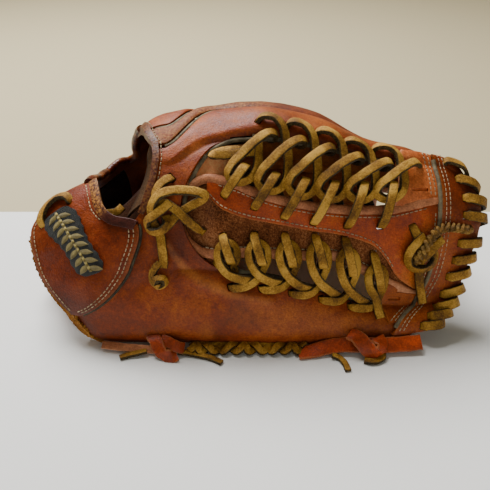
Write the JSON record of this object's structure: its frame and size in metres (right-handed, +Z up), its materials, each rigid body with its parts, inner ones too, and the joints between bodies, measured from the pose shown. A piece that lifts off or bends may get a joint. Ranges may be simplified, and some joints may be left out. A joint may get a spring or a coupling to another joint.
{
  "type": "baseball glove",
  "caption": "Leather infield glove for the left hand, lying on its pocket, with a laced web and an open back",
  "frame": {"origin": "middle of the bounding box, on the floor that the glove lies on", "axes": "+X runs from the wrist to the fingertips, +Y from the thumb to the little finger, +Z up out of the backs"},
  "size_m": [0.2926, 0.1791, 0.1294],
  "materials": {
    "palm": "worn tan leather",
    "shell": "worn reddish brown leather",
    "panel": "darker worn leather",
    "pink": "rolled pinkish leather",
    "welt": "dark brown leather piping",
    "suede": "dark suede",
    "orange": "smooth orange-brown leather",
    "patch": "woven and embroidered",
    "lace": "ochre rawhide",
    "strap": "bright orange leather"
  },
  "bodies": {
    "root": {"palm_shell": "palm", "thumb_index_back": "shell", "middle_back": "shell", "ring_back": "shell", "pinky_back": "shell", "thumb_base_panel": "panel", "pinky_base_panel": "panel", "wrist_strap": "shell", "index_welt": "welt", "middle_welt": "welt", "ring_welt": "welt", "web_hole_welt": "welt", "thumb_hole_welt": "welt", "web_strap": "suede", "web_overlay": "orange", "web_roll_lower": "pink", "web_roll_upper": "pink", "web_crown": "shell", "index_tip_tab": "panel", "thumb_tip_tab": "pink", "crown_welt": "welt", "finger_opening_binding": "panel", "thumb_opening_binding": "pink", "pinky_opening_binding": "pink", "patch": "patch", "crown_cord": "lace", "index_net_lace": "lace", "thumb_net_lace": "lace", "strap_net_lace_upper": "lace", "strap_net_lace_lower": "lace", "crown_whip_lace": "lace", "web_root_lace": "lace", "web_knot_lace": "lace", "crown_knot_lace": "lace", "wrist_lace": "lace", "thumb_edge_thong_left": "strap", "thumb_edge_knot_left": "strap", "thumb_edge_lace_left": "lace", "thumb_edge_lace": "lace", "thumb_edge_lace_middle": "lace", "thumb_edge_thong_right": "strap", "thumb_edge_knot_right": "strap", "thumb_edge_lace_right": "lace"}
  },
  "joints": []
}
